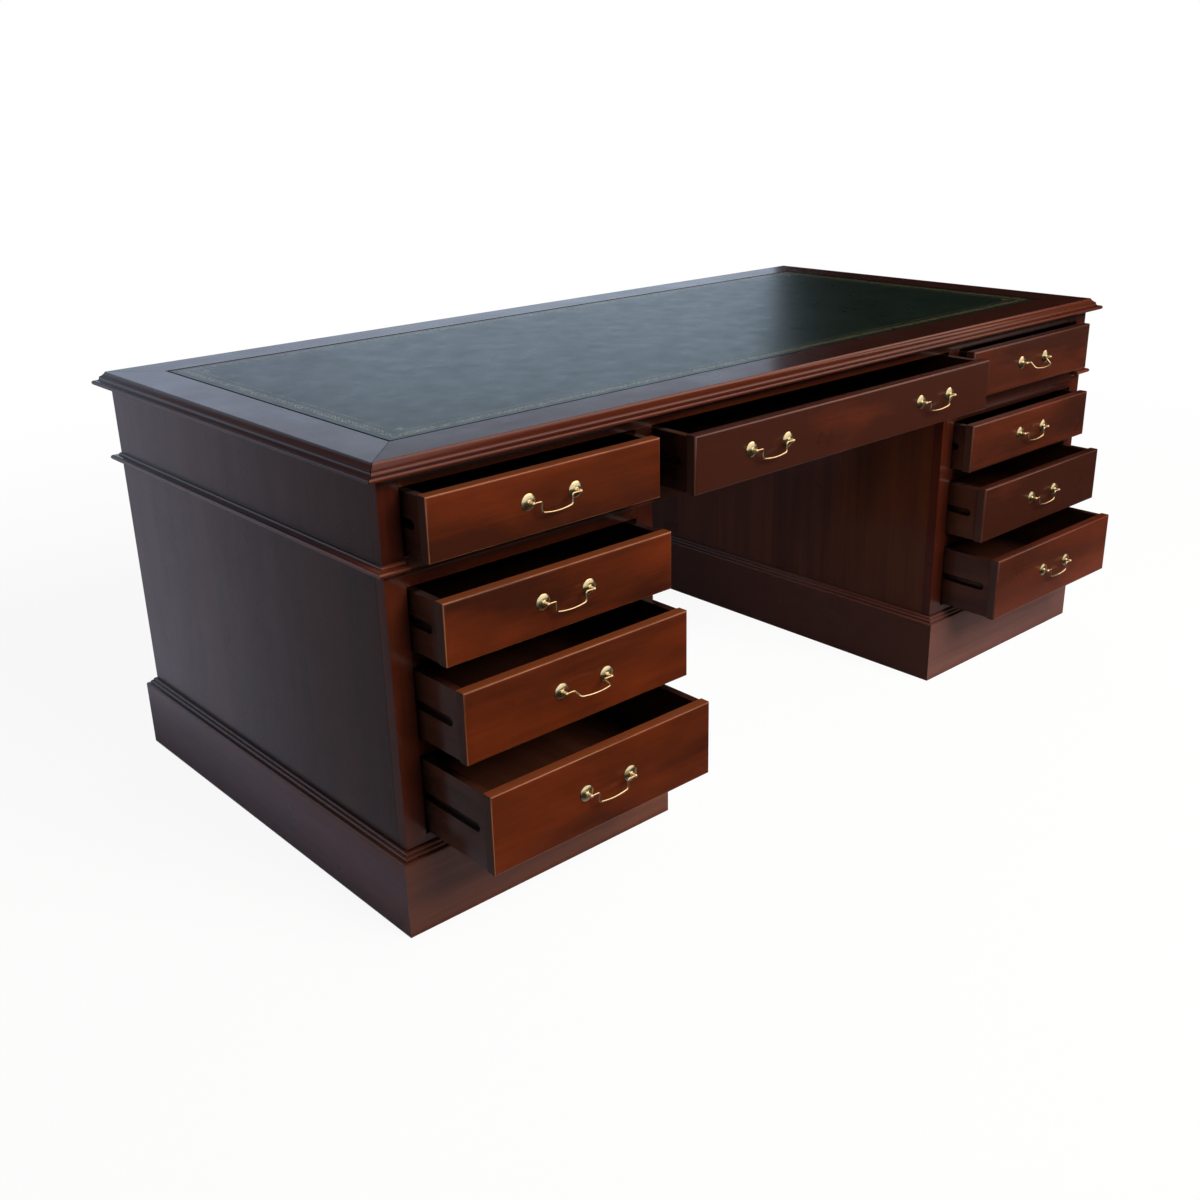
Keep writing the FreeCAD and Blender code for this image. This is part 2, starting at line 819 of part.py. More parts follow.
def make_nut(name, corner):
    body = doc.addObject("Part::Prism", f"{name}_hex")
    body.Polygon = NUT_SIDES
    bind(body, Circumradius="nut_radius", Height="nut_height")
    thread = doc.addObject("Part::Cylinder", f"{name}_thread")
    bind(thread, Radius="stud_radius + thread_clearance", Height="nut_height + 2 * overrun")
    place(thread, z="0 - overrun")
    nut = doc.addObject("Part::Cut", name)
    nut.Base = body
    nut.Tool = thread
    turn(nut, X_AXIS, -QUARTER_TURN)
    place(nut, *corner)
    return nut


def make_posts(drawer):
    pieces = []
    height = f"{drawer.height} / 2 + post_rise"
    for number, x in enumerate(post_places(drawer)):
        left = number % 2 == 0
        pieces.append(make_post(f"{drawer.name}_post_{number + 1}", drawer.at(x, "0", height), left))
        pieces.append(make_nut(f"{drawer.name}_nut_{number + 1}", drawer.at(x, "front_thickness", height)))
    group(f"{drawer.name}_handle_posts", pieces)


BAIL_PATH = [
    ("0 - bail_end", "0"),
    ("0 - bail_turn", "0", "right", "bail_bend_radius"),
    ("0 - bail_leg_offset", "0 - bail_bend_radius"),
    ("0 - bail_leg_offset", "bail_centre_z - bail_corner_drop", "left", "bail_corner_radius"),
    ("0 - bail_tangent_x", "bail_tangent_z", "left", "bail_bar_radius"),
    ("bail_tangent_x", "bail_tangent_z", "left", "bail_corner_radius"),
    ("bail_leg_offset", "bail_centre_z - bail_corner_drop"),
    ("bail_leg_offset", "0 - bail_bend_radius", "right", "bail_bend_radius"),
    ("bail_turn", "0"),
    ("bail_end", "0"),
]


def make_bail(name, corner, angle):
    """A bent wire handle about its pivots, hanging, or swung out by an angle."""
    body = new_body(name)
    path = new_sketch(body, "XZ_Plane", "Path")
    draw(path, BAIL_PATH, closed=False)
    section = new_sketch(body, "YZ_Plane", "Wire", "0 - bail_end")
    centre = FreeCAD.Vector()
    wire = section.addGeometry(Part.Circle(centre, Z_AXIS, value("bail_wire_radius")), False)
    constrain(section, "Coincident", wire, 3, -1, 1)
    constrain(section, "Radius", wire, value("bail_wire_radius"), text="bail_wire_radius")
    pipe = body.newObject("PartDesign::AdditivePipe", "Bent")
    pipe.Profile = section
    pipe.Spine = path
    if angle:
        turn(body, X_AXIS * -1, value(angle))
        bind(body, **{"Placement.Rotation.Angle": angle})
    place(body, *corner)
    keep(body, name)


def make_bails(drawer):
    single = len(drawer.handles) == 1
    for number, x in enumerate(handle_middles(drawer)):
        suffix = "bail" if single else ("left_bail", "right_bail")[number]
        corner = drawer.at(x, "0 - post_projection", f"{drawer.height} / 2 + post_rise")
        make_bail(f"{drawer.name}_{suffix}", corner, drawer.bail_angle)


LEFT_X = "stile_width + drawer_gap - half_length"
RIGHT_X = "knee_half + stile_width + drawer_gap"
ONE_HANDLE = ["0"]
TWO_HANDLES = ["0 - centre_handle_offset", "centre_handle_offset"]
ROWS = {"top": "frieze", "upper": "upper", "middle": "middle", "lower": "lower"}
RAISED_BAILS = {"left_middle": "bail_angle_left_middle", "right_top": "bail_angle_right_top"}


def all_drawers():
    drawers = [
        Drawer(
            f"{side}_{place_name}_drawer",
            x,
            "front_width",
            row,
            f"pull_{side}_{place_name}",
            ONE_HANDLE,
            RAISED_BAILS.get(f"{side}_{place_name}"),
        )
        for side, x in (("left", LEFT_X), ("right", RIGHT_X))
        for place_name, row in ROWS.items()
    ]
    centre_x = "drawer_gap - knee_half"
    drawers.append(
        Drawer("centre_drawer", centre_x, "centre_front_width", "frieze", "pull_centre", TWO_HANDLES)
    )
    return drawers


def wall_gaps(drawer):
    """Space between the drawer's opening and the boards that carry its left and right runners."""
    outer = "stile_width - side_thickness"
    divider = "(stile_width - divider_thickness) / 2"
    if drawer.name == "centre_drawer":
        return divider, divider
    inner = divider if "_top_" in drawer.name else outer
    return (outer, inner) if drawer.name.startswith("left") else (inner, outer)


def make_runners(drawers):
    """Two wooden runners for each drawer, fixed to the carcass and reaching into the side grooves."""
    runners = []
    for drawer in drawers:
        x = drawer.corner[0]
        z = f"{drawer.closed_z} + {drawer.height} / 2 - runner_height / 2"
        left_gap, right_gap = wall_gaps(drawer)
        high_x = f"{x} + {drawer.width} + drawer_gap - runner_reach"
        for side, low_x, gap in (
            ("left", f"{x} - drawer_gap - ({left_gap})", left_gap),
            ("right", high_x, right_gap),
        ):
            runners.append(
                board(
                    f"{drawer.name}_{side}_runner",
                    (low_x, "runner_y", z),
                    (f"runner_reach + {gap}", "runner_length", "runner_height"),
                )
            )
    group("drawer_runners", runners)


def check_document():
    """Stop if any object failed or any sub-part has a bad shape."""
    for thing in doc.Objects:
        if "Invalid" in thing.State or "Error" in thing.State:
            raise RuntimeError(f"{thing.Label} failed: {thing.State}")
    for node in nodes:
        if node.Shape.isNull() or not node.Shape.isValid():
            raise RuntimeError(f"{node.Label} has a bad shape")


def export_nodes():
    os.makedirs("parts", exist_ok=True)
    for node in nodes:
        node.Shape.exportStep(f"parts/{node.Label}.step")


fill_sheets()
make_top()
make_frieze()
for pedestal in ("left", "right"):
    make_pedestal(pedestal)
desk_drawers = all_drawers()
for desk_drawer in desk_drawers:
    make_front(desk_drawer)
    make_box(desk_drawer)
    make_posts(desk_drawer)
    make_bails(desk_drawer)
make_runners(desk_drawers)
doc.recompute()
check_document()
export_nodes()
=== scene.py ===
import json
import math
import random

import bmesh
import bpy
from mathutils import Matrix, Vector


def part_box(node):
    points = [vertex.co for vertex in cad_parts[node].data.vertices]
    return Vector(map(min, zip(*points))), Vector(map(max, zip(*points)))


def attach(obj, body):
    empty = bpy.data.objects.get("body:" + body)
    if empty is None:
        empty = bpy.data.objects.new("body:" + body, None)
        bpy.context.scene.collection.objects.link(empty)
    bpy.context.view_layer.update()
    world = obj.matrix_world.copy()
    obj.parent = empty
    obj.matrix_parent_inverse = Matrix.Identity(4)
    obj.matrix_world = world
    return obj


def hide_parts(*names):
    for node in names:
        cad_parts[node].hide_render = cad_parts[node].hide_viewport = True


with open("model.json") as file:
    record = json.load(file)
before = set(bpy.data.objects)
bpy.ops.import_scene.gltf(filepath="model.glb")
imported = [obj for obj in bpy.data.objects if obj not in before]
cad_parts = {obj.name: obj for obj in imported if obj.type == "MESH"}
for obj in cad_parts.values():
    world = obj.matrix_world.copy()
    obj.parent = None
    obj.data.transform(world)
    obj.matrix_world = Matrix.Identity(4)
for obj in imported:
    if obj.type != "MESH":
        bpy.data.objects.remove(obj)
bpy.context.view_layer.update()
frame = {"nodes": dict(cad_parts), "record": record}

# Lengths are in metres and angles in radians, except azimuths, which are in degrees.
# The front of the desk faces -Y, its left side faces -X, and it stands on the floor at height 0.

leather_low, leather_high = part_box("leather_insert")
leather_middle = (leather_low + leather_high) / 2
leather_half = (leather_high - leather_low) / 2
front_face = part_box("frieze_front_frame")[0].y
plinth_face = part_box("left_plinth")[0].y
side_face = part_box("frieze_ends")[0].x
back_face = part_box("frieze_back")[1].y
bodies = frame["record"]["behaviour"]["bodies"]
body_of_node = {node: body for body, nodes in bodies.items() for node in nodes}


# Shader trees

CREVICE_SAMPLES = 6

# The colour sockets of a Mix node go by number, because other sockets share their names.
MIX_SHARE = 0
MIX_FIRST = 6
MIX_SECOND = 7
MIX_COLOUR = 2


class Shader:
    """The node tree of a material or a world, with short calls to add to it."""

    def __init__(self, owner, output="OutputMaterial"):
        self.owner = owner
        self.owner.use_nodes = True
        self.tree = self.owner.node_tree
        self.tree.nodes.clear()
        self.output = self.add(output)

    def add(self, kind, inputs=None, **settings):
        made = self.tree.nodes.new("ShaderNode" + kind)
        for name, setting in settings.items():
            setattr(made, name, setting)
        for name, source in (inputs or {}).items():
            self.feed(made.inputs[name], source)
        return made

    def feed(self, socket, source):
        if isinstance(source, bpy.types.NodeSocket):
            self.tree.links.new(source, socket)
        else:
            socket.default_value = source

    def finish(self, surface):
        self.tree.links.new(surface, self.output.inputs["Surface"])
        return self.owner

    def principled(self, inputs):
        return self.finish(self.add("BsdfPrincipled", inputs).outputs["BSDF"])

    def emission(self, colour):
        return self.add("Emission", {"Color": colour, "Strength": 1.0}).outputs["Emission"]

    def attribute(self, name, output):
        return self.add("Attribute", attribute_name=name).outputs[output]

    def place(self):
        return self.add("TexCoord").outputs["Object"]

    def stretch(self, vector, scales):
        return self.add("Mapping", {"Vector": vector, "Scale": scales}).outputs["Vector"]

    def split(self, vector):
        return self.add("SeparateXYZ", {"Vector": vector}).outputs

    def noise(self, vector, scale=1.0, detail=2.0, roughness=0.5, distortion=0.0):
        inputs = {"Vector": vector, "Scale": scale, "Detail": detail, "Roughness": roughness}
        inputs["Distortion"] = distortion
        return self.add("TexNoise", inputs).outputs["Fac"]

    def cells(self, vector, scale=1.0, output="Distance", feature="F1", randomness=1.0):
        inputs = {"Vector": vector, "Scale": scale, "Randomness": randomness}
        return self.add("TexVoronoi", inputs, feature=feature).outputs[output]

    def math(self, operation, *terms):
        return self.add("Math", dict(enumerate(terms)), operation=operation).outputs[0]

    def remap(self, value, low, high, to_low=0.0, to_high=1.0, smooth=False):
        inputs = {"Value": value, "From Min": low, "From Max": high}
        inputs.update({"To Min": to_low, "To Max": to_high})
        kind = "SMOOTHSTEP" if smooth else "LINEAR"
        return self.add("MapRange", inputs, interpolation_type=kind).outputs["Result"]

    def spread(self, share, to_low, to_high):
        """A value from 0 to 1, laid out between two others."""
        return self.remap(share, 0.0, 1.0, to_low, to_high)

    def mix(self, share, first, second):
        made = self.add("Mix", data_type="RGBA")
        self.feed(made.inputs[MIX_SHARE], share)
        self.feed(made.inputs[MIX_FIRST], first)
        self.feed(made.inputs[MIX_SECOND], second)
        return made.outputs[MIX_COLOUR]

    def ramp(self, share, stops):
        made = self.add("ValToRGB", {"Fac": share})
        points = made.color_ramp.elements
        while len(points) < len(stops):
            points.new(position=0.5)
        for point, (position, colour) in zip(points, stops):
            point.position = position
            point.color = colour
        return made.outputs["Color"]

    def bump(self, height, distance, strength):
        inputs = {"Height": height, "Distance": distance, "Strength": strength}
        return self.add("Bump", inputs).outputs["Normal"]

    def crevice(self, distance):
        """1 in the open, falling to 0 in a groove or inner corner of that size."""
        return self.add("AmbientOcclusion", {"Distance": distance}, samples=CREVICE_SAMPLES).outputs["AO"]

    def background_rays(self):
        """1 for the rays that show the white ground behind the object, and 0 for those that light it."""
        path = self.add("LightPath").outputs
        seen = self.math("MAXIMUM", path["Is Camera Ray"], path["Is Glossy Ray"])
        return self.math("MAXIMUM", seen, path["Is Transmission Ray"])


def material_shader(name):
    return Shader(bpy.data.materials.new(name))


def opaque(red, green, blue):
    return (red, green, blue, 1.0)


# Wood. Its scales are in features to a metre, along, across and through a board.

FIGURE_SCALE = (1.3, 13.0, 13.0)
FRONT_FIGURE_SCALE = (2.4, 7.5, 7.5)
STREAK_SCALE = (4.0, 150.0, 150.0)
PORE_SCALE = (55.0, 1500.0, 1500.0)
RIPPLE_SCALE = (3.0, 22.0, 22.0)
RUBBED_SCALE = 9.0
LEAVES_PER_METRE = 8.5
LEAF_RANDOMNESS = 0.75

FIGURE_SHARE = 0.72
STREAK_SHARE = 0.24
FRONT_STREAK_SHARE = 0.16
VENEER_STREAK_SHARE = 0.12
PORE_SHARE = 0.30
UPPER_GRAIN_SHARE = 0.6
TONE_LOW = -0.35
TONE_HIGH = 0.10
LEAF_LOW = -0.10
LEAF_HIGH = 0.09
DARK_STOP = 0.22
MIDDLE_STOP = 0.47
LIGHT_STOP = 0.80
PORE_START = 0.57
PORE_FULL = 0.70

# How squarely a face looks along an axis, where 1 is square on.
FACING_START = 0.80
FACING_FULL = 0.97
ARRIS_FULL = 0.76
ARRIS_END = 0.93

WEAR_START = 0.32
WEAR_FULL = 0.55
LEAST_WEAR = 0.25
MOST_WEAR = 0.9
# Painted shade in recesses, such as the insides of the drawers and the rails between them.
RECESS_SHADE_FULL = 0.42
RECESS_SHADE_END = 0.88
RECESS_SHADE_LEAST = 0.08
RECESS_SHADE_COLOUR = opaque(0.0020, 0.0010, 0.0008)
CORNER_DEPTH = 0.010
CORNER_FULL = 0.25
CORNER_END = 0.85
CORNER_LIGHT = 0.30

# Most of a noise lies between these.
NOISE_LOW = 0.3
NOISE_HIGH = 0.7

ROUGHNESS = 0.34
ROUGHNESS_LEAST = 0.8
ROUGHNESS_MOST = 1.25
LACQUER = 0.85
LACQUER_ROUGHNESS = 0.15
FRONT_LACQUER_ROUGHNESS = 0.21
LACQUER_IOR = 1.5
BARE_SPECULAR = 0.05
GRAIN_DEPTH = 0.00015
GRAIN_STRENGTH = 0.5
PORE_SINK = -0.6
RIPPLE_DEPTH = 0.0012
RIPPLE_STRENGTH = 0.25

MITRE_LINE = 0.0006
MITRE_GLUE = opaque(0.0010, 0.0008, 0.0008)
FRONT_RUN_LACQUER = 0.62


def wood(name, colours, lacquer=LACQUER, lacquer_roughness=LACQUER_ROUGHNESS, roughness=ROUGHNESS,
         figure_scale=FIGURE_SCALE, streaks=STREAK_SHARE, leaves=0.0, upper=None, ends=None, arris_wear_and_highlight=None,
         recess_shade_depth=0.0, mitres=False):
    """Stained wood under lacquer. Its grain runs along each board, and each board has its own tone.
    leaves is how many leaves of veneer there are to a metre, or 0 for none.
    upper is painted light on the tops of the left drawer fronts and painted shade on the border's top.
    ends is the colour of faces that look along X: end grain on the drawer fronts, painted shade on the right
    plinth.
    arris_wear_and_highlight is the colour of the rubbed arrises of a plain board; on the left drawer fronts
    it is also a painted highlight.
    recess_shade_depth is the depth of the recesses darkened with painted shade, or 0 for none.
    mitres draws the glue lines in the border round the leather, and thins the lacquer of its front run."""
    dark, middle, light = colours
    shader = material_shader(name)
    grain = shader.attribute("grain", "Vector")
    tone = shader.attribute("tone", "Fac")
    figure = shader.noise(shader.stretch(grain, figure_scale), detail=4.0, roughness=0.55, distortion=0.3)
    streak = shader.noise(shader.stretch(grain, STREAK_SCALE), detail=3.0, roughness=0.6)
    pore = shader.noise(shader.stretch(grain, PORE_SCALE), detail=1.0)
    pore = shader.remap(pore, PORE_START, PORE_FULL)
    rubbed = shader.noise(grain, RUBBED_SCALE, detail=3.0)
    share = shader.math("MULTIPLY_ADD", figure, FIGURE_SHARE, shader.math("MULTIPLY", streak, streaks))
    share = shader.math("ADD", share, shader.spread(tone, TONE_LOW, TONE_HIGH))
    if leaves:
        leaf = shader.stretch(grain, (0.0, leaves, 0.0))
        leaf = shader.cells(leaf, output="Color", randomness=LEAF_RANDOMNESS)
        share = shader.math("ADD", share, shader.spread(shader.split(leaf)["X"], LEAF_LOW, LEAF_HIGH))
    colour = shader.ramp(share, [(DARK_STOP, dark), (MIDDLE_STOP, middle), (LIGHT_STOP, light)])
    colour = shader.mix(shader.math("MULTIPLY", pore, PORE_SHARE), colour, dark)

    facing = shader.split(shader.add("NewGeometry").outputs["Normal"])
    sideways, forward, upward = (shader.math("ABSOLUTE", part) for part in facing)
    if ends:
        end_face = shader.remap(sideways, FACING_START, FACING_FULL, smooth=True)
        colour = shader.mix(end_face, colour, ends)
    # Painted light and shade on faces that look straight up: light on the left drawer fronts, shade on the
    # border.
    if upper:
        level = shader.remap(facing["Z"], FACING_START, FACING_FULL, smooth=True)
        upper = shader.mix(shader.math("MULTIPLY", share, UPPER_GRAIN_SHARE), upper, middle)
        colour = shader.mix(level, colour, upper)
    # Rubbed arrises are lightened by wear, and on the left drawer fronts also by a painted highlight.
    if arris_wear_and_highlight:
        squareness = shader.math("MAXIMUM", sideways, shader.math("MAXIMUM", forward, upward))
        arris = shader.remap(squareness, ARRIS_FULL, ARRIS_END, 1.0, 0.0)
        wear = shader.remap(rubbed, WEAR_START, WEAR_FULL, LEAST_WEAR, MOST_WEAR)
        colour = shader.mix(shader.math("MULTIPLY", arris, wear), colour, arris_wear_and_highlight)
    # Painted shade: recesses up to the given depth are darkened nearly to black.
    if recess_shade_depth:
        shade = shader.crevice(recess_shade_depth)
        shade = shader.remap(shade, RECESS_SHADE_FULL, RECESS_SHADE_END, RECESS_SHADE_LEAST, 1.0, smooth=True)
        colour = shader.mix(shade, RECESS_SHADE_COLOUR, colour)
    if mitres:
        past_end, past_side = past_leather(shader)
        glue = shader.math("ABSOLUTE", shader.math("SUBTRACT", past_end, past_side))
        glue = shader.remap(glue, MITRE_LINE, 2 * MITRE_LINE, 1.0, 0.0)
        glue = shader.math("MULTIPLY", glue, shader.math("GREATER_THAN", past_end, 0.0))
        colour = shader.mix(glue, colour, MITRE_GLUE)
        lacquer = shader.math("MULTIPLY", shader.math("SUBTRACT", 1.0, glue), lacquer)
        front_run = shader.math("LESS_THAN", shader.split(shader.place())["Y"], leather_middle.y)
        front_run = shader.math("MULTIPLY", front_run, shader.math("GREATER_THAN", past_side, past_end))
        front_run = shader.math("MULTIPLY", front_run, shader.math("GREATER_THAN", upward, FACING_FULL))
        lacquer = shader.math("MULTIPLY", lacquer, shader.spread(front_run, 1.0, FRONT_RUN_LACQUER))
    # Grooves and inner corners about a centimetre across are darkened towards the dark colour.
    corner = shader.remap(shader.crevice(CORNER_DEPTH), CORNER_FULL, CORNER_END, CORNER_LIGHT, 1.0)
    colour = shader.mix(corner, dark, colour)

    smoothest = roughness * ROUGHNESS_LEAST
    roughest = roughness * ROUGHNESS_MOST
    gloss = shader.remap(rubbed, NOISE_LOW, NOISE_HIGH, smoothest, roughest)
    height = shader.math("MULTIPLY_ADD", pore, PORE_SINK, streak)
    ripple = shader.noise(shader.stretch(grain, RIPPLE_SCALE), detail=1.0)
    return shader.principled({
        "Base Color": colour,
        "Roughness": gloss,
        "Specular IOR Level": BARE_SPECULAR,
        "Coat Weight": lacquer,
        "Coat Roughness": lacquer_roughness,
        "Coat IOR": LACQUER_IOR,
        "Normal": shader.bump(height, GRAIN_DEPTH, GRAIN_STRENGTH),
        "Coat Normal": shader.bump(ripple, RIPPLE_DEPTH, RIPPLE_STRENGTH),
    })


def past_leather(shader):
    """How far a point lies beyond the leather's ends along X, and beyond its sides along Y."""
    past = []
    for part, middle, half in zip(shader.split(shader.place()), leather_middle.xy, leather_half.xy):
        from_middle = shader.math("ABSOLUTE", shader.math("SUBTRACT", part, middle))
        past.append(shader.math("SUBTRACT", from_middle, half))
    return past


# Each wood's dark, middle and light colours
MAHOGANY = opaque(0.030, 0.0066, 0.0030), opaque(0.103, 0.0175, 0.0048), opaque(0.188, 0.0410, 0.0108)
SUNNED = opaque(0.030, 0.0060, 0.0020), opaque(0.106, 0.0160, 0.0022), opaque(0.194, 0.0385, 0.0060)
PLINTH = opaque(0.034, 0.0095, 0.0050), opaque(0.082, 0.0210, 0.0098), opaque(0.145, 0.0450, 0.0190)
# The right plinth's colours, greyer and paler than the left plinth's.
PALE_GREY_PLINTH = opaque(0.050, 0.0180, 0.0130), opaque(0.096, 0.0350, 0.0260), opaque(0.150, 0.0580, 0.0420)
KNEEHOLE = opaque(0.040, 0.0105, 0.0042), opaque(0.074, 0.0190, 0.0066), opaque(0.108, 0.0290, 0.0098)
# Framing colours, dark partly as stain and partly as painted shade on the stiles, rails and top border.
FRAME_STAIN_AND_SHADE = opaque(0.017, 0.0028, 0.0014), opaque(0.054, 0.0090, 0.0032), opaque(0.095, 0.0200, 0.0062)
SIDE = opaque(0.025, 0.0078, 0.0042), opaque(0.042, 0.0120, 0.0060), opaque(0.062, 0.0185, 0.0088)
BOX = opaque(0.022, 0.0070, 0.0042), opaque(0.055, 0.0165, 0.0088), opaque(0.086, 0.0285, 0.0150)

# Painted light on the faces that look up on the left drawer fronts.
FRONT_TOP_PAINTED_LIGHT = opaque(0.150, 0.0390, 0.0125)
# Wear on the arrises of the left drawer fronts, bright enough to be a painted highlight line as well.
EDGE_WEAR_AND_HIGHLIGHT = opaque(0.310, 0.1120, 0.0420)
EDGE_RUBBED = opaque(0.120, 0.0400, 0.0190)
EDGE_SOFT = opaque(0.085, 0.0220, 0.0095)
END_DARK = opaque(0.046, 0.0190, 0.0140)
END_SHADED = opaque(0.051, 0.0165, 0.0105)
# Painted shade on the level top of the border round the leather.
BORDER_TOP_PAINTED_SHADE = opaque(0.010, 0.0034, 0.0024)
# Depths of the recesses that get painted shade.
FRAME_RECESS_SHADE = 0.095
BOX_RECESS_SHADE = 0.16
DULL_LACQUER = 0.45
SIDE_LACQUER = 0.90
KNEEHOLE_LACQUER = 0.60
WORN_LACQUER = 0.50
BORDER_LACQUER = 0.70
BOX_LACQUER = 0.95
BOX_ROUGHNESS = 0.42
RUNNER_LACQUER = 0.1
RUNNER_ROUGHNESS = 0.55

mahogany = wood("mahogany", MAHOGANY)
plinth_wood = wood("mahogany_plinth", PLINTH)
dull_plinth_wood = wood("mahogany_dull_plinth", PALE_GREY_PLINTH, DULL_LACQUER, ends=END_SHADED)
veneer = wood("mahogany_veneer", SIDE, SIDE_LACQUER, leaves=LEAVES_PER_METRE, arris_wear_and_highlight=EDGE_RUBBED,
              streaks=VENEER_STREAK_SHARE)
knee_veneer = wood("mahogany_knee_veneer", KNEEHOLE, KNEEHOLE_LACQUER, leaves=LEAVES_PER_METRE,
                   arris_wear_and_highlight=EDGE_RUBBED)
front_wood = wood("mahogany_front", MAHOGANY, LACQUER, FRONT_LACQUER_ROUGHNESS,
                  figure_scale=FRONT_FIGURE_SCALE, streaks=FRONT_STREAK_SHARE,
                  ends=END_DARK, arris_wear_and_highlight=EDGE_SOFT)
# The left drawer fronts carry painted light on their tops and a painted highlight along their rubbed arrises.
worn_and_highlit_front_wood = wood("mahogany_worn_front", SUNNED, WORN_LACQUER, FRONT_LACQUER_ROUGHNESS,
                       figure_scale=FRONT_FIGURE_SCALE, streaks=FRONT_STREAK_SHARE, upper=FRONT_TOP_PAINTED_LIGHT,
                       ends=END_DARK, arris_wear_and_highlight=EDGE_WEAR_AND_HIGHLIGHT)
frame_wood = wood("mahogany_frame", FRAME_STAIN_AND_SHADE, arris_wear_and_highlight=EDGE_RUBBED, recess_shade_depth=FRAME_RECESS_SHADE)
border_wood = wood("mahogany_border", FRAME_STAIN_AND_SHADE, BORDER_LACQUER, upper=BORDER_TOP_PAINTED_SHADE, mitres=True)
drawer_wood = wood("drawer_wood", BOX, BOX_LACQUER, roughness=BOX_ROUGHNESS, arris_wear_and_highlight=EDGE_RUBBED,
                   recess_shade_depth=BOX_RECESS_SHADE)
runner_wood = wood("runner_wood", BOX, RUNNER_LACQUER, roughness=RUNNER_ROUGHNESS)


# Leather

# The gold tooling, whose insets are from the edge of the hide. Each line has its inset and half its width.
SCROLL_INSET = 0.0230
SCROLL_REACH = 0.0032
SCROLL_LENGTH = 0.021
SCROLL_HALF_WIDTH = 0.0006
TOOLED_LINES = ((0.0172, 0.0004), (0.0288, 0.0004), (0.0425, 0.0003))
TOOLING_SOFT = 0.00035
DIAMOND_INSET = 0.0545
DIAMOND_REACH = 0.0070
DIAMOND_END = 0.0078
GOLD = opaque(0.70, 0.52, 0.22)
GOLD_WORN_OFF = 0.43
GOLD_WHOLE = 0.62
GOLD_WEAR_SCALE = 160.0
GOLD_SINK = 0.8

DYE_SCALE = 9.0
DYE_SHARE = 0.75
SPECK_SCALE = 120.0
SPECK_SHARE = 0.25
HIDE_COLOURS = [
    (0.30, opaque(0.0020, 0.0046, 0.0025)),
    (0.52, opaque(0.0030, 0.0070, 0.0038)),
    (0.74, opaque(0.0047, 0.0102, 0.0056)),
]
PEBBLE_SCALE = 620.0
CREASE_SCALE = 240.0
PEBBLE_DEPTH = 0.00012
PEBBLE_STRENGTH = 0.45
SHEEN_SCALE = 21.0
SHEEN_SMOOTH = 0.265
SHEEN_ROUGH = 0.325
HIDE_SPECULAR = 0.5
HIDE_TINT = opaque(0.84, 1.00, 0.97)


def tooled_leather(name):
    """Green hide with a fine pebble, mottled dye and a rubbed gold border of a double wave between lines."""
    shader = material_shader(name)
    place = shader.place()
    across, along, _ = shader.split(place)
    past_end, past_side = past_leather(shader)
    from_end = shader.math("MULTIPLY", past_end, -1.0)
    from_side = shader.math("MULTIPLY", past_side, -1.0)
    inset = shader.math("MINIMUM", from_end, from_side)
    by_end = shader.math("LESS_THAN", from_end, from_side)
    run = shader.split(shader.mix(by_end, across, along))["X"]

    def band(offset, half_width):
        distance = shader.math("ABSOLUTE", shader.math("SUBTRACT", inset, offset))
        return shader.remap(distance, half_width, half_width + TOOLING_SOFT, 1.0, 0.0)

    wave = shader.math("SINE", shader.math("MULTIPLY", run, 2 * math.pi / SCROLL_LENGTH))
    scroll = shader.math("MULTIPLY_ADD", wave, SCROLL_REACH, SCROLL_INSET)
    counter = shader.math("MULTIPLY_ADD", wave, -SCROLL_REACH, SCROLL_INSET)
    gold = shader.math("MAXIMUM", band(scroll, SCROLL_HALF_WIDTH), band(counter, SCROLL_HALF_WIDTH))
    for offset, half_width in TOOLED_LINES:
        gold = shader.math("MAXIMUM", gold, band(offset, half_width))
    diamond_across = shader.math("ABSOLUTE", shader.math("SUBTRACT", from_end, DIAMOND_INSET))
    diamond_along = shader.math("ABSOLUTE", shader.math("SUBTRACT", from_side, DIAMOND_INSET))
    diamond = shader.math("ADD", diamond_across, diamond_along)
    gold = shader.math("MAXIMUM", gold, shader.remap(diamond, DIAMOND_REACH, DIAMOND_END, 1.0, 0.0))
    rubbed = shader.noise(place, GOLD_WEAR_SCALE, detail=3.0, roughness=0.65)
    gold = shader.math("MULTIPLY", gold, shader.remap(rubbed, GOLD_WORN_OFF, GOLD_WHOLE))

    dye = shader.noise(place, DYE_SCALE, detail=6.0, roughness=0.62, distortion=0.5)
    speck = shader.noise(place, SPECK_SCALE, detail=3.0, roughness=0.6)
    share = shader.math("MULTIPLY_ADD", dye, DYE_SHARE, shader.math("MULTIPLY", speck, SPECK_SHARE))
    pebble = shader.cells(place, PEBBLE_SCALE, feature="SMOOTH_F1")
    crease = shader.noise(place, CREASE_SCALE, detail=3.0, roughness=0.6)
    height = shader.math("ADD", pebble, crease)
    height = shader.math("SUBTRACT", height, shader.math("MULTIPLY", gold, GOLD_SINK))
    sheen = shader.noise(place, SHEEN_SCALE, detail=4.0, roughness=0.6)
    return shader.principled({
        "Base Color": shader.mix(gold, shader.ramp(share, HIDE_COLOURS), GOLD),
        "Metallic": gold,
        "Roughness": shader.remap(sheen, NOISE_LOW, NOISE_HIGH, SHEEN_SMOOTH, SHEEN_ROUGH),
        "Specular IOR Level": HIDE_SPECULAR,
        "Specular Tint": HIDE_TINT,
        "Normal": shader.bump(height, PEBBLE_DEPTH, PEBBLE_STRENGTH),
    })


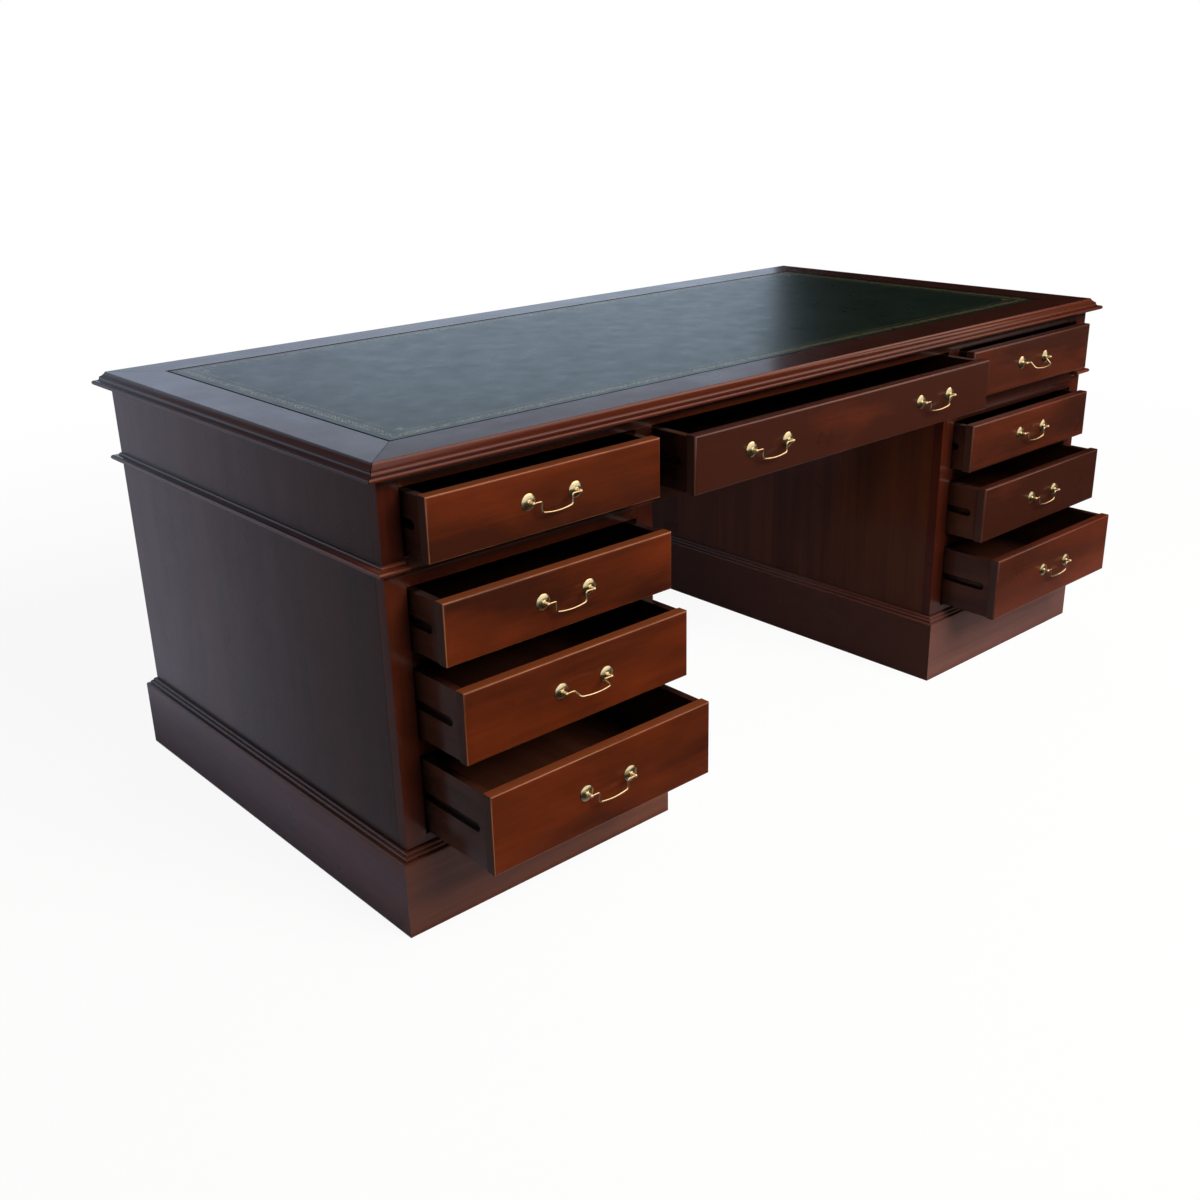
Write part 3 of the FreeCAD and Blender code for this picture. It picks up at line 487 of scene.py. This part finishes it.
# Painted shade: the hide's rim is coloured near-black, with a faint mottle, to draw the dark line along the
# leather's edge.
RIM_MOTTLE_SCALE = 90.0
RIM_PAINTED_SHADE_COLOURS = [
    (NOISE_LOW, opaque(0.0012, 0.0016, 0.0012)),
    (NOISE_HIGH, opaque(0.0040, 0.0055, 0.0042)),
]
RIM_SMOOTH = 0.75
RIM_ROUGH = 0.95
RIM_SPECULAR = 0.1
RIM_MOTTLE_DEPTH = 0.0002
RIM_MOTTLE_STRENGTH = 0.5


def matt_edge(name):
    """The cut and turned-down edge of the hide, near-black as painted shade for the dark line round the
    leather.
    """
    shader = material_shader(name)
    rim_mottle = shader.noise(shader.place(), RIM_MOTTLE_SCALE, detail=4.0, roughness=0.6)
    return shader.principled({
        "Base Color": shader.ramp(rim_mottle, RIM_PAINTED_SHADE_COLOURS),
        "Roughness": shader.remap(rim_mottle, NOISE_LOW, NOISE_HIGH, RIM_SMOOTH, RIM_ROUGH),
        "Specular IOR Level": RIM_SPECULAR,
        "Normal": shader.bump(rim_mottle, RIM_MOTTLE_DEPTH, RIM_MOTTLE_STRENGTH),
    })


leather = tooled_leather("green_leather")
leather_rim = matt_edge("leather_rim")


# Brass

CLOUD_SCALE = 55.0
SCRATCH_SCALE = (260.0, 900.0, 900.0)
SCRATCH_DEPTH = 0.00004
SCRATCH_STRENGTH = 0.4
BRASS_COLOURS = [(0.32, opaque(0.64, 0.53, 0.29)), (0.70, opaque(0.81, 0.69, 0.42))]
BRASS_TARNISH = opaque(0.16, 0.085, 0.025)
TARNISH_DEPTH = 0.0035
TARNISH_FULL = 0.25
TARNISH_END = 0.80
BRASS_SMOOTH = 0.18
BRASS_ROUGH = 0.28


def polished_brass(name):
    """Lacquered brass, lighter and darker in soft patches and brown in its corners."""
    shader = material_shader(name)
    place = shader.place()
    cloud = shader.noise(place, CLOUD_SCALE, detail=4.0, roughness=0.6)
    scratch = shader.noise(shader.stretch(place, SCRATCH_SCALE), detail=2.0)
    open_air = shader.remap(shader.crevice(TARNISH_DEPTH), TARNISH_FULL, TARNISH_END)
    return shader.principled({
        "Base Color": shader.mix(open_air, BRASS_TARNISH, shader.ramp(cloud, BRASS_COLOURS)),
        "Metallic": 1.0,
        "Roughness": shader.remap(cloud, NOISE_LOW, NOISE_HIGH, BRASS_SMOOTH, BRASS_ROUGH),
        "Normal": shader.bump(scratch, SCRATCH_DEPTH, SCRATCH_STRENGTH),
    })


brass = polished_brass("brass")


# Pieces

MERGE = 1e-5
PLACE_DIGITS = 6
FLAT_ANGLE = math.radians(1.0)
SHARP_ANGLE = math.radians(35.0)
SHADE_ANGLE = math.radians(38.0)
LONG_EDGE = 0.004
ARRIS_SEGMENTS = 2
ROUND_PROFILE = 0.5
GRAIN_SHIFT = 20.0
BOARD_TONES = (0.5, 1.0)
AXES = {"x": 0, "y": 1, "z": 2}


def link(name, mesh, material):
    made = bpy.data.objects.new(name, mesh)
    bpy.context.scene.collection.objects.link(made)
    mesh.materials.append(material)
    return made


def solids(mesh):
    """The triangles of each closed solid of a CAD node, which follow one another in its mesh."""
    places = [tuple(round(value, PLACE_DIGITS) for value in vertex.co) for vertex in mesh.vertices]
    open_edges = {}
    faces = []
    for polygon in mesh.polygons:
        corners = list(polygon.vertices)
        faces.append(corners)
        for first, second in zip(corners, corners[1:] + corners[:1]):
            forward_edge = (places[first], places[second])
            back_edge = (places[second], places[first])
            if back_edge in open_edges:
                open_edges[back_edge] -= 1
                if open_edges[back_edge] == 0:
                    del open_edges[back_edge]
            else:
                open_edges[forward_edge] = open_edges.get(forward_edge, 0) + 1
        if not open_edges:
            yield faces
            faces = []


def is_sharp(edge):
    """Whether an edge between two faces is an arris to ease."""
    if len(edge.link_faces) != 2:
        return False
    return edge.calc_face_angle() > SHARP_ANGLE and edge.calc_length() > LONG_EDGE


def eased(mesh, faces, arris):
    """The corners and faces of one board, with its sharp arrises eased."""
    shape = bmesh.new()
    made = {}
    for corners in faces:
        for index in corners:
            if index not in made:
                made[index] = shape.verts.new(mesh.vertices[index].co)
        shape.faces.new([made[index] for index in corners])
    bmesh.ops.remove_doubles(shape, verts=shape.verts, dist=MERGE)
    bmesh.ops.dissolve_limit(shape, angle_limit=FLAT_ANGLE, verts=shape.verts, edges=shape.edges)
    sharp = [edge for edge in shape.edges if is_sharp(edge)]
    bmesh.ops.bevel(shape, geom=sharp, offset=arris, segments=ARRIS_SEGMENTS, profile=ROUND_PROFILE,
                    affect="EDGES", clamp_overlap=True)
    bmesh.ops.dissolve_degenerate(shape, dist=MERGE, edges=shape.edges)
    shape.verts.index_update()
    points = [vertex.co.copy() for vertex in shape.verts]
    rings = [[vertex.index for vertex in face.verts] for face in shape.faces]
    shape.free()
    return points, rings


def grain_order(points, along):
    """The axes of a board from its grain's direction to its thickness."""
    extent = []
    for axis in range(3):
        places = [point[axis] for point in points]
        extent.append(max(places) - min(places))
    order = sorted(range(3), key=lambda axis: -extent[axis])
    if along:
        order.remove(AXES[along])
        order.insert(0, AXES[along])
    return order


def dress(node, material, arris, along=None, tone_range=BOARD_TONES):
    """A copy of a CAD node, board by board, with the arrises eased, the grain laid and the finish on.
    Each board's grain is in metres along it, across it and through it, and its tone lies in tone_range."""
    source = frame["nodes"][node].data
    draw = random.Random(node)
    all_points = []
    all_rings = []
    grain = []
    tone = []
    for faces in solids(source):
        points, rings = eased(source, faces, arris)
        order = grain_order(points, along)
        shift = [draw.uniform(0.0, GRAIN_SHIFT) for _ in order]
        board_tone = draw.uniform(*tone_range)
        for point in points:
            grain.extend(point[axis] + step for axis, step in zip(order, shift))
            tone.append(board_tone)
        first = len(all_points)
        all_rings += [[first + index for index in ring] for ring in rings]
        all_points += points
    mesh = bpy.data.meshes.new(node + "_finish")
    mesh.from_pydata(all_points, [], all_rings)
    mesh.attributes.new("grain", "FLOAT_VECTOR", "POINT")
    mesh.attributes.new("tone", "FLOAT", "POINT")
    mesh.attributes["grain"].data.foreach_set("vector", grain)
    mesh.attributes["tone"].data.foreach_set("value", tone)
    mesh.shade_smooth()
    mesh.set_sharp_from_angle(angle=SHADE_ANGLE)
    made = link(node + "_finish", mesh, material)
    weights = made.modifiers.new("weighted normals", "WEIGHTED_NORMAL")
    weights.keep_sharp = True
    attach(made, body_of_node[node])
    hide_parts(node)


MOULDING_ARRIS = 0.0003
BORDER_ARRIS = 0.0002
BOARD_ARRIS = 0.0006
DRAWER_ARRIS = 0.0010
PLINTH_TONES = (0.7, 1.0)
# Each drawer front's tone from 0 to 1, set front by front. Besides each front's own tone it holds painted
# shade, lower on fronts that get less light.
FRONT_TONES_AND_SHADE = {
    "left_top_drawer": 0.45,
    "left_upper_drawer": 0.52,
    "left_middle_drawer": 0.55,
    "left_lower_drawer": 0.58,
    "centre_drawer": 0.15,
    "right_top_drawer": 0.30,
    "right_upper_drawer": 0.41,
    "right_middle_drawer": 0.10,
    "right_lower_drawer": 0.72,
}

dress("top_border", border_wood, BORDER_ARRIS)
dress("waist_moulding", mahogany, MOULDING_ARRIS)
dress("left_plinth", plinth_wood, MOULDING_ARRIS, tone_range=PLINTH_TONES)
dress("right_plinth", dull_plinth_wood, MOULDING_ARRIS, tone_range=PLINTH_TONES)
for node in ("frieze_ends", "frieze_back"):
    dress(node, veneer, BOARD_ARRIS, "z")
for node in ("frieze_dividers", "frieze_bottom", "top_panel"):
    dress(node, mahogany, BOARD_ARRIS)
dress("frieze_front_frame", frame_wood, BOARD_ARRIS)
for side in ("left", "right"):
    dress(f"{side}_pedestal_outer_side", veneer, BOARD_ARRIS, "z")
    dress(f"{side}_pedestal_back", veneer, BOARD_ARRIS, "z")
    dress(f"{side}_pedestal_inner_side", knee_veneer, BOARD_ARRIS, "z")
    dress(f"{side}_pedestal_boards", drawer_wood, BOARD_ARRIS)
    dress(f"{side}_pedestal_front_frame", frame_wood, BOARD_ARRIS)
dress("drawer_runners", runner_wood, BOARD_ARRIS)
for drawer, front_tone in FRONT_TONES_AND_SHADE.items():
    face = worn_and_highlit_front_wood if drawer.startswith("left") else front_wood
    dress(drawer + "_front", face, DRAWER_ARRIS, "x", (front_tone, front_tone))
    dress(drawer + "_box", drawer_wood, DRAWER_ARRIS)


def rectangle(low, high, inset, height):
    """The corners of a level rectangle, anticlockwise from above."""
    return [
        (low[0] + inset, low[1] + inset, height),
        (high[0] - inset, low[1] + inset, height),
        (high[0] - inset, high[1] - inset, height),
        (low[0] + inset, high[1] - inset, height),
    ]


RIM_WIDTH = 0.0038
RIM_DROP = 0.0009


def lay_leather():
    """The hide in its recess: level, with a narrow rim that is turned down all round."""
    low, high = leather_low, leather_high
    # Three rings of four corners: the underside, the foot of the rim and the level top.
    points = rectangle(low, high, 0.0, low.z)
    points += rectangle(low, high, 0.0, high.z - RIM_DROP)
    points += rectangle(low, high, RIM_WIDTH, high.z)
    faces = [(3, 2, 1, 0), (8, 9, 10, 11)]
    for ring in (0, 4):
        for corner in range(4):
            after = (corner + 1) % 4
            faces.append((ring + corner, ring + after, ring + 4 + after, ring + 4 + corner))
    mesh = bpy.data.meshes.new("leather_insert_hide")
    mesh.from_pydata(points, [], faces)
    made = link("leather_insert_hide", mesh, leather)
    mesh.materials.append(leather_rim)
    for face in mesh.polygons[2:]:
        face.material_index = 1
    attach(made, body_of_node["leather_insert"])
    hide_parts("leather_insert")


lay_leather()
frame["nodes"]["locating_dowels"].material_slots[0].material = runner_wood
for node, cad_piece in frame["nodes"].items():
    if node.endswith("_handle_posts") or node.endswith("_bail"):
        cad_piece.material_slots[0].material = brass


# Floor

FLOOR_REACH = 30.0
FLOOR_GRIT_SCALE = 40.0
FLOOR_COLOURS = [(NOISE_LOW, opaque(0.84, 0.84, 0.84)), (NOISE_HIGH, opaque(0.88, 0.88, 0.88))]
FLOOR_MATTNESS = 0.5
FLOOR_NEAR = 1.6
FLOOR_FAR = 4.0
FLOOR_NEAR_WHITE = 0.92
WHITE = opaque(1.0, 1.0, 1.0)


def sheet_mesh(name, corners):
    mesh = bpy.data.meshes.new(name)
    mesh.from_pydata(corners, [], [tuple(range(len(corners)))])
    return mesh


def floor_material():
    """A pale matt floor that keeps the object's shadow and fades to white far off."""
    shader = material_shader("floor")
    across, along, _ = shader.split(shader.place())
    reach = shader.math("ADD", shader.math("MULTIPLY", across, across), shader.math("MULTIPLY", along, along))
    reach = shader.math("SQRT", reach)
    white_share = shader.remap(reach, FLOOR_NEAR, FLOOR_FAR, FLOOR_NEAR_WHITE, 1.0, smooth=True)
    white_share = shader.math("MULTIPLY", shader.background_rays(), white_share)
    pale = shader.ramp(shader.noise(shader.place(), FLOOR_GRIT_SCALE, detail=4.0), FLOOR_COLOURS)
    matt = shader.add("BsdfDiffuse", {"Color": pale, "Roughness": FLOOR_MATTNESS}).outputs["BSDF"]
    both = shader.add("MixShader", {0: white_share, 1: matt, 2: shader.emission(WHITE)})
    return shader.finish(both.outputs["Shader"])


floor_corners = rectangle((-FLOOR_REACH, -FLOOR_REACH), (FLOOR_REACH, FLOOR_REACH), 0.0, 0.0)
floor = link("floor", sheet_mesh("floor", floor_corners), floor_material())


# Glowing cards, no lamps, that only reflections see: painted reflections and highlights in the wood, leather
# and brass

CAMERA_PLACE = Vector((-1.909415, leather_middle.y - 2.009619, 1.266103))
BACKDROP_DISTANCE = 7.0
BACKDROP_FOOT = 0.1
BACKDROP_HEAD = 9.0

# Azimuths where the upright cards begin, meet and end, from the left round to the right
SKY_START = 160.0
SKY_BEND = 85.0
SKY_RIGHT_START = 60.0
FLAG_START = 41.0
FLAG_END = -8.0

SKY_FULL = 1.9
SKY_DIM = 3.0
SKY = opaque(0.60, 0.72, 0.92)
SKY_RIGHT = opaque(0.66, 0.81, 1.00)
DIM_SKY = opaque(0.10, 0.105, 0.125)
DARK = opaque(0.006, 0.006, 0.006)
OVERHEAD = opaque(3.6, 2.2, 1.75)

GROUND_HEIGHT = 0.0015
GROUND_LOW = (-5.0, -5.0)
GROUND_HIGH = (6.0, 5.0)
OVERHEAD_HEIGHT = 2.6
OVERHEAD_LOW = (-0.5, -4.2)
OVERHEAD_HIGH = (6.5, -1.7)

LEFT_GROUND = [
    (0.00, opaque(0.125, 0.112, 0.112)),
    (0.10, opaque(0.146, 0.136, 0.155)),
    (0.37, opaque(0.200, 0.192, 0.225)),
    (0.64, opaque(0.330, 0.322, 0.385)),
    (1.00, opaque(0.470, 0.455, 0.560)),
]
LEFT_GROUND_LEAD = 0.10
FOOT_GROUND = opaque(0.265, 0.278, 0.375)
FOOT_GROUND_FULL = 0.08
FOOT_GROUND_GONE = 0.16
FRONT_GROUND = [
    (0.00, opaque(0.085, 0.080, 0.095)),
    (0.02, opaque(0.42, 0.39, 0.39)),
    (0.20, opaque(0.40, 0.36, 0.36)),
    (0.70, opaque(0.02, 0.015, 0.012)),
]
FRONT_GROUND_REACH = 0.6
FRONT_GROUND_END = -0.93
LEFT_GROUND_START = -1.10


def card(name, corners, material):
    """A studio card or flag that only reflections see."""
    made = link(name, sheet_mesh(name, corners), material)
    made.visible_camera = False
    made.visible_diffuse = False
    made.visible_transmission = False
    made.visible_volume_scatter = False
    made.visible_shadow = False


def backdrop(name, first_azimuth, last_azimuth, low_colour, high_colour):
    """An upright card that the desk top reflects, between two azimuths from the camera's place.
    It has its low colour up to the height SKY_FULL, and its high colour from SKY_DIM up."""
    feet = []
    for azimuth in (first_azimuth, last_azimuth):
        turn = math.radians(azimuth)
        feet.append((CAMERA_PLACE.x + BACKDROP_DISTANCE * math.cos(turn),
                     CAMERA_PLACE.y + BACKDROP_DISTANCE * math.sin(turn)))
    corners = [foot + (BACKDROP_FOOT,) for foot in feet]
    corners += [foot + (BACKDROP_HEAD,) for foot in reversed(feet)]
    shader = material_shader(name)
    height = shader.split(shader.place())["Z"]
    colour = shader.mix(shader.remap(height, SKY_FULL, SKY_DIM), low_colour, high_colour)
    card(name, corners, shader.finish(shader.emission(colour)))


def ground_material():
    """Grey ground for the reflections. On the left, what the side of the desk shows pales towards its back.
    In front, the ground is grey near the plinth and dark farther off."""
    shader = material_shader("ground_card")
    across, along, _ = shader.split(shader.place())
    # seen is the place along the desk's side where the camera sees this point of the ground mirrored.
    reach = shader.math("SUBTRACT", side_face, across)
    reach = shader.math("DIVIDE", reach, side_face - CAMERA_PLACE.x)
    seen = shader.math("MULTIPLY_ADD", reach, CAMERA_PLACE.y, along)
    seen = shader.math("DIVIDE", seen, shader.math("ADD", reach, 1.0))
    left = shader.ramp(shader.remap(seen, front_face - LEFT_GROUND_LEAD, back_face), LEFT_GROUND)
    past_foot = shader.remap(reach, FOOT_GROUND_FULL, FOOT_GROUND_GONE, smooth=True)
    left = shader.mix(past_foot, FOOT_GROUND, left)
    ahead = shader.math("SUBTRACT", plinth_face, along)
    front = shader.ramp(shader.remap(ahead, 0.0, FRONT_GROUND_REACH), FRONT_GROUND)
    by_left = shader.remap(across, FRONT_GROUND_END, LEFT_GROUND_START, smooth=True)
    return shader.finish(shader.emission(shader.mix(by_left, front, left)))


# Painted highlight: a glowing card, no lamp, for the highlight along the nosing of the top's moulding.
def overhead_material():
    shader = material_shader("overhead_card")
    return shader.finish(shader.emission(OVERHEAD))


backdrop("sky_card", SKY_START, SKY_BEND, SKY, DIM_SKY)
backdrop("sky_card_middle", SKY_BEND, SKY_RIGHT_START, SKY, DIM_SKY)
backdrop("sky_card_right", SKY_RIGHT_START, FLAG_START, SKY_RIGHT, DIM_SKY)
backdrop("dark_flag", FLAG_START, FLAG_END, DARK, DARK)
card("ground_card", rectangle(GROUND_LOW, GROUND_HIGH, 0.0, GROUND_HEIGHT), ground_material())
card("overhead_card", rectangle(OVERHEAD_LOW, OVERHEAD_HIGH, 0.0, OVERHEAD_HEIGHT), overhead_material())


# Lamps and world

KEY_PLACE = (0.4, -3.5, 2.9)
KEY_AIM = (-0.1, -0.4, 0.4)
KEY_SIZE = (2.8, 1.6)
KEY_COLOUR = (1.0, 0.97, 0.93)
KEY_POWER = 185.0
GLINT_POWER = 75.0
FILL_PLACE = (3.2, 3.6, 2.2)
FILL_AIM = (0.0, 0.3, 0.4)
FILL_SIZE = (4.0, 2.0)
FILL_COLOUR = (1.0, 0.98, 0.96)
FILL_POWER = 130.0
STRIP_PLACE = (1.6, -1.9, 2.7)
STRIP_AIM = (0.3, -0.4, 0.5)
STRIP_SIZE = (5.0, 0.35)
STRIP_COLOUR = (1.0, 0.80, 0.64)
STRIP_POWER = 12.0
WORLD_LIGHT = 0.06
WORLD_WHITE = 1.0


def softbox(name, place, aim, size, power, colour, in_reflections=True):
    """An area lamp at a place, turned to face its aim."""
    lamp = bpy.data.lights.new(name, "AREA")
    lamp.shape = "RECTANGLE"
    lamp.size, lamp.size_y = size
    lamp.energy = power
    lamp.color = colour
    made = bpy.data.objects.new(name, lamp)
    bpy.context.scene.collection.objects.link(made)
    made.location = place
    made.rotation_euler = (Vector(aim) - Vector(place)).to_track_quat("-Z", "Y").to_euler()
    made.visible_glossy = in_reflections


softbox("key", KEY_PLACE, KEY_AIM, KEY_SIZE, KEY_POWER, KEY_COLOUR, in_reflections=False)
softbox("fill", FILL_PLACE, FILL_AIM, FILL_SIZE, FILL_POWER, FILL_COLOUR, in_reflections=False)
softbox("glint", KEY_PLACE, KEY_AIM, KEY_SIZE, GLINT_POWER, KEY_COLOUR)
softbox("strip", STRIP_PLACE, STRIP_AIM, STRIP_SIZE, STRIP_POWER, STRIP_COLOUR)

world = bpy.data.worlds.new("studio")
studio = Shader(world, "OutputWorld")
strength = studio.spread(studio.background_rays(), WORLD_LIGHT, WORLD_WHITE)
studio.finish(studio.add("Background", {"Color": WHITE, "Strength": strength}).outputs["Background"])
bpy.context.scene.world = world


# Camera

CAMERA_YAW = -0.720
CAMERA_PITCH = -0.374
CAMERA_ROLL = -0.024
SENSOR_MILLIMETRES = 36.0
PHOTO_PIXELS = 1200
FOCAL_PIXELS = 1317.824

forward = Vector((-math.sin(CAMERA_YAW) * math.cos(CAMERA_PITCH),
                  math.cos(CAMERA_YAW) * math.cos(CAMERA_PITCH),
                  math.sin(CAMERA_PITCH)))
level = Vector((math.cos(CAMERA_YAW), math.sin(CAMERA_YAW), 0.0))
upright = level.cross(forward)
right = math.cos(CAMERA_ROLL) * level + math.sin(CAMERA_ROLL) * upright
up = math.cos(CAMERA_ROLL) * upright - math.sin(CAMERA_ROLL) * level
lens = bpy.data.cameras.new("camera")
lens.sensor_width = SENSOR_MILLIMETRES
lens.lens = SENSOR_MILLIMETRES * FOCAL_PIXELS / PHOTO_PIXELS
camera = bpy.data.objects.new("camera", lens)
bpy.context.scene.collection.objects.link(camera)
camera.matrix_world = Matrix.Translation(CAMERA_PLACE) @ Matrix((right, up, -forward)).transposed().to_4x4()
bpy.context.scene.camera = camera
bpy.context.scene.view_settings.view_transform = "Standard"
